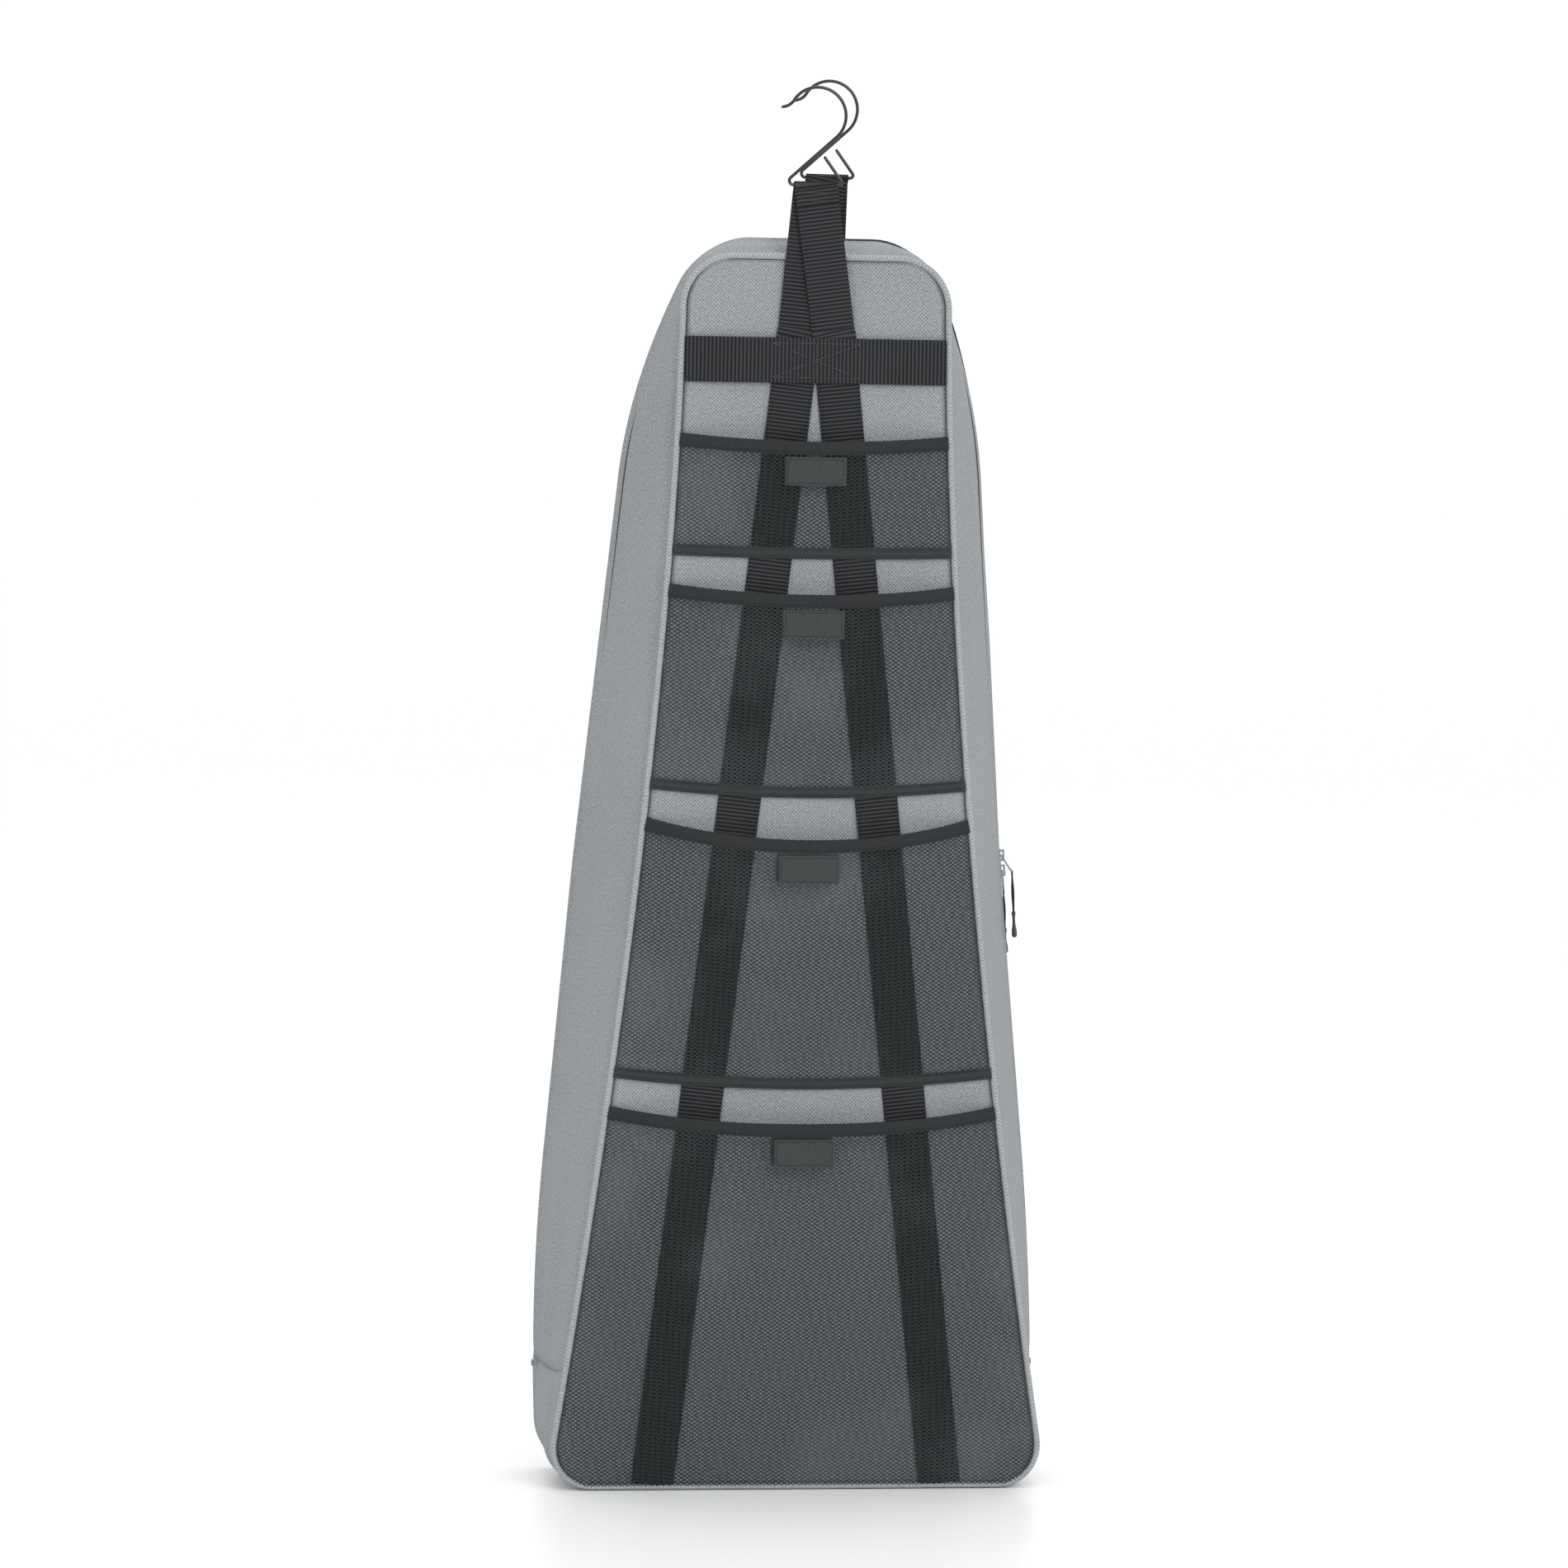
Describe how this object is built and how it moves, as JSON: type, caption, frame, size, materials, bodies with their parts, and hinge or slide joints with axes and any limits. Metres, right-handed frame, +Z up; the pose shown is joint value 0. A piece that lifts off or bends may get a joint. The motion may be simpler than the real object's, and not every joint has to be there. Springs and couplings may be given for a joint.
{
  "type": "shoe organizer",
  "caption": "Tapered hanging travel bag in grey fabric with mesh pockets on one side, a zipped door on the other, webbing straps and wire hooks.",
  "frame": {"origin": "middle of the base, on the floor", "axes": "+X right when facing the mesh pockets, +Y from the mesh pockets to the zipped door, +Z up towards the hooks"},
  "size_m": [0.4592, 0.185, 1.2571],
  "materials": {
    "shell_fabric": "matte",
    "piping_fabric": "matte",
    "net": "matte",
    "elastic": "satin",
    "hook_and_loop": "matte",
    "webbing": "satin",
    "hook_wire": "gloss",
    "zip_tape": "matte",
    "zip_coil": "gloss",
    "zip_metal": "satin",
    "grip_rubber": "matte",
    "board": "matte"
  },
  "bodies": {
    "bag": {"near_panel": "shell_fabric", "side_gusset": "shell_fabric", "base_gusset": "shell_fabric", "base_board": "board", "near_piping": "piping_fabric", "zip_tape_bag": "zip_tape", "zip_coil_bag": "zip_coil", "zip_end_stops": "zip_metal", "far_panel_foot": "shell_fabric", "far_piping_foot": "piping_fabric", "far_strap_feet": "webbing", "pocket_1_mesh": "net", "pocket_2_mesh": "net", "pocket_3_mesh": "net", "pocket_4_mesh": "net", "pocket_1_elastic": "elastic", "pocket_2_elastic": "elastic", "pocket_3_elastic": "elastic", "pocket_4_elastic": "elastic", "pocket_1_hem": "net", "pocket_2_hem": "net", "pocket_3_hem": "net", "pocket_1_hook_tab": "hook_and_loop", "pocket_2_hook_tab": "hook_and_loop", "pocket_3_hook_tab": "hook_and_loop", "pocket_4_hook_tab": "hook_and_loop", "pocket_1_loop_tab": "hook_and_loop", "pocket_2_loop_tab": "hook_and_loop", "pocket_3_loop_tab": "hook_and_loop", "pocket_4_loop_tab": "hook_and_loop", "near_strap_left": "webbing", "near_strap_right": "webbing", "near_cross_strap": "webbing"},
    "near_loop_body": {"near_loop": "webbing"},
    "near_hook_body": {"near_hook": "hook_wire"},
    "door": {"door_panel": "shell_fabric", "far_piping": "piping_fabric", "zip_tape_door": "zip_tape", "zip_coil_door": "zip_coil", "far_strap_left": "webbing", "far_strap_right": "webbing", "far_cross_strap": "webbing"},
    "far_loop_body": {"far_loop": "webbing"},
    "far_hook_body": {"far_hook": "hook_wire"},
    "slider_upper_body": {"slider_upper": "zip_metal"},
    "pull_upper_body": {"pull_upper": "zip_metal"},
    "cord_upper_body": {"cord_pull_upper": "grip_rubber"},
    "slider_lower_body": {"slider_lower": "zip_metal"},
    "pull_lower_body": {"pull_lower": "zip_metal"},
    "cord_lower_body": {"cord_pull_lower": "grip_rubber"}
  },
  "joints": [
    {"name": "door_fold", "type": "hinge", "parent": "bag", "child": "door", "pos_m": [0, 0.07321, 0.1], "axis": [-1, 0, 0], "range_deg": [0, 95]},
    {"name": "near_loop_fold", "type": "hinge", "parent": "bag", "child": "near_loop_body", "pos_m": [0, -0.0624, 1.0296], "axis": [1, 0, 0], "range_deg": [0, 95]},
    {"name": "near_hook_swing", "type": "hinge", "parent": "near_loop_body", "child": "near_hook_body", "pos_m": [-0.004, -0.068, 1.161], "axis": [1, 0, 0], "range_deg": [-10, 110]},
    {"name": "far_loop_fold", "type": "hinge", "parent": "door", "child": "far_loop_body", "pos_m": [0, 0.02701, 1.0296], "axis": [-1, 0, 0], "range_deg": [0, 95]},
    {"name": "far_hook_swing", "type": "hinge", "parent": "far_loop_body", "child": "far_hook_body", "pos_m": [0.015, -0.002, 1.17], "axis": [-1, 0, 0], "range_deg": [-10, 110]},
    {"name": "upper_slider_slide", "type": "slide", "parent": "bag", "child": "slider_upper_body", "axis": [-0.0881, -0.1449, 0.9855], "range_m": [0, 0.33]},
    {"name": "lower_slider_slide", "type": "slide", "parent": "bag", "child": "slider_lower_body", "axis": [0.089, -0.0442, -0.9951], "range_m": [0, 0.24]},
    {"name": "upper_pull_flip", "type": "hinge", "parent": "slider_upper_body", "child": "pull_upper_body", "pos_m": [0.19797, 0.08297, 0.55846], "axis": [0, -1, 0], "range_deg": [0, 100]},
    {"name": "lower_pull_flip", "type": "hinge", "parent": "slider_lower_body", "child": "pull_lower_body", "pos_m": [0.19923, 0.08369, 0.54446], "axis": [0, -1, 0], "range_deg": [0, 12]},
    {"name": "upper_cord_swing", "type": "hinge", "parent": "pull_upper_body", "child": "cord_upper_body", "pos_m": [0.20868, 0.08297, 0.54258], "axis": [1, 0, 0], "range_deg": [-35, 5]},
    {"name": "lower_cord_swing", "type": "hinge", "parent": "pull_lower_body", "child": "cord_lower_body", "pos_m": [0.20123, 0.08369, 0.52541], "axis": [1, 0, 0], "range_deg": [-5, 35]}
  ]
}
